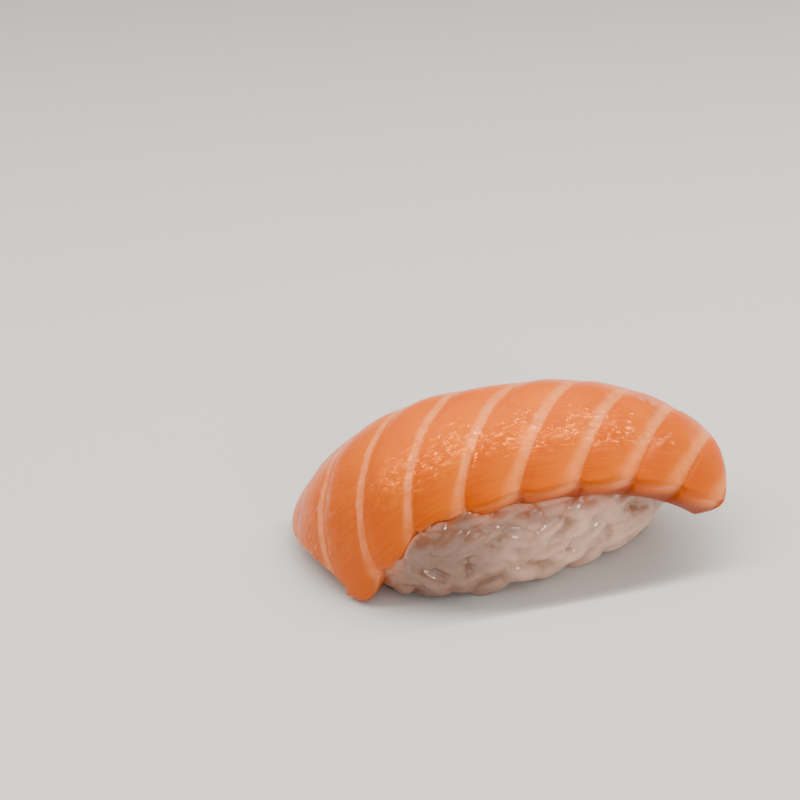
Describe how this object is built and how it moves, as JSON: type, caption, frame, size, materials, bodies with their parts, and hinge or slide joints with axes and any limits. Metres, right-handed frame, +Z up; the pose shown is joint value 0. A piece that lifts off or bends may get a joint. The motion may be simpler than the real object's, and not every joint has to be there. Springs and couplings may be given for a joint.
{
  "type": "salmon nigiri",
  "caption": "Hand-pressed oval of sushi rice with a slice of raw salmon draped over it, fat lines crossing the slice on a slant.",
  "frame": {"origin": "centre of the outline's box, on the table under the rice", "axes": "+X along the slice towards the end that hangs free, +Y to the back, +Z up"},
  "size_m": [0.0698, 0.0306, 0.0282],
  "materials": {
    "rice": "moist cooked rice grains, translucent off-white, softly glossy",
    "salmon": "wet raw salmon flesh, orange with pale fat lines, glossy"
  },
  "bodies": {
    "root": {"rice": "rice", "salmon_slice": "salmon"}
  },
  "joints": []
}
